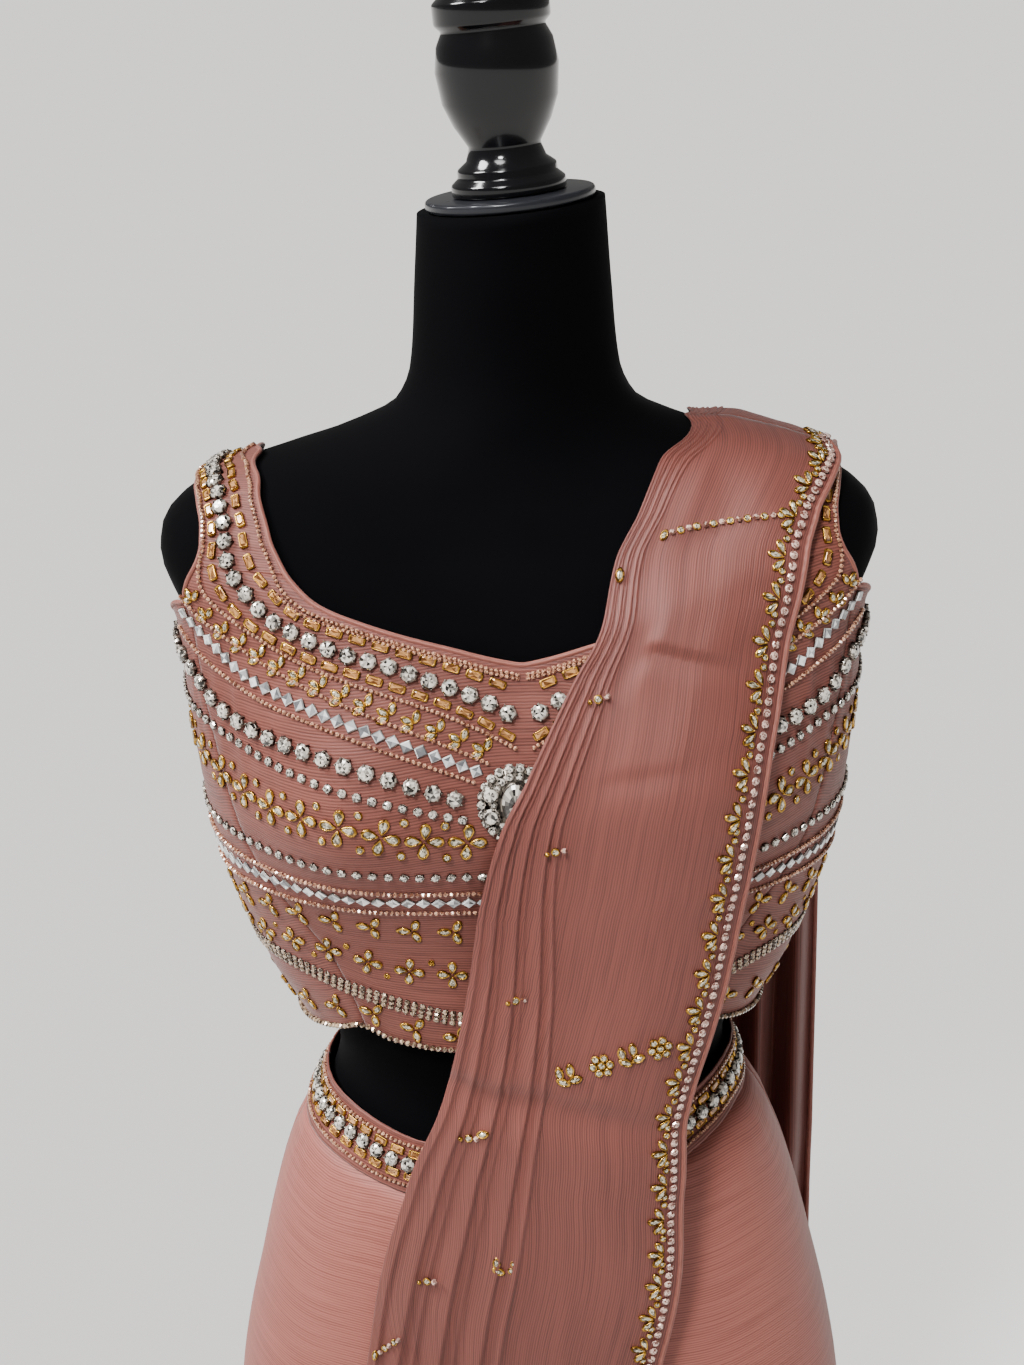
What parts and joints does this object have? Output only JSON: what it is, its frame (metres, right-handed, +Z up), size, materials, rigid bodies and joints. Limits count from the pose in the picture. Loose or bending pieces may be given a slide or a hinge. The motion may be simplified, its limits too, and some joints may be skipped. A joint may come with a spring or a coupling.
{
  "type": "pre-draped saree on dress form",
  "caption": "Dusty-rose pre-draped saree: beaded sleeveless blouse, beaded waistband, flared skirt and pleated drape over one shoulder, worn by a black limbless form on a stand",
  "frame": {"origin": "on the floor, at the centre of the stand's base, on its underside", "axes": "+Z up; -Y towards the front of the garment; +X towards the draped shoulder, the wearer's left"},
  "size_m": [0.4931, 0.3899, 1.6331],
  "materials": {
    "rose_cloth": "finely crinkled, soft sheen, beaded on the blouse and waistband",
    "clear_stone": "faceted, clear",
    "black_velvet": "matte velvet",
    "black_lacquer": "gloss black lacquer",
    "dark_steel": "satin grey-black"
  },
  "bodies": {
    "root": {"blouse_center_front": "rose_cloth", "blouse_side_front_left": "rose_cloth", "blouse_side_front_right": "rose_cloth", "blouse_strap_left": "rose_cloth", "blouse_strap_right": "rose_cloth", "blouse_back_left": "rose_cloth", "blouse_back_right": "rose_cloth", "neckline_piping": "rose_cloth", "armhole_piping_left": "rose_cloth", "armhole_piping_right": "rose_cloth", "waistband_front": "rose_cloth", "waistband_back": "rose_cloth", "skirt_front": "rose_cloth", "skirt_back": "rose_cloth", "drape_front": "rose_cloth", "drape_shoulder": "rose_cloth", "drape_back": "rose_cloth", "drape_border_cord": "rose_cloth", "brooch": "clear_stone", "form_torso": "black_velvet", "finial": "black_lacquer", "neck_disc": "dark_steel", "stand_pole": "dark_steel", "stand_base": "dark_steel"}
  },
  "joints": []
}
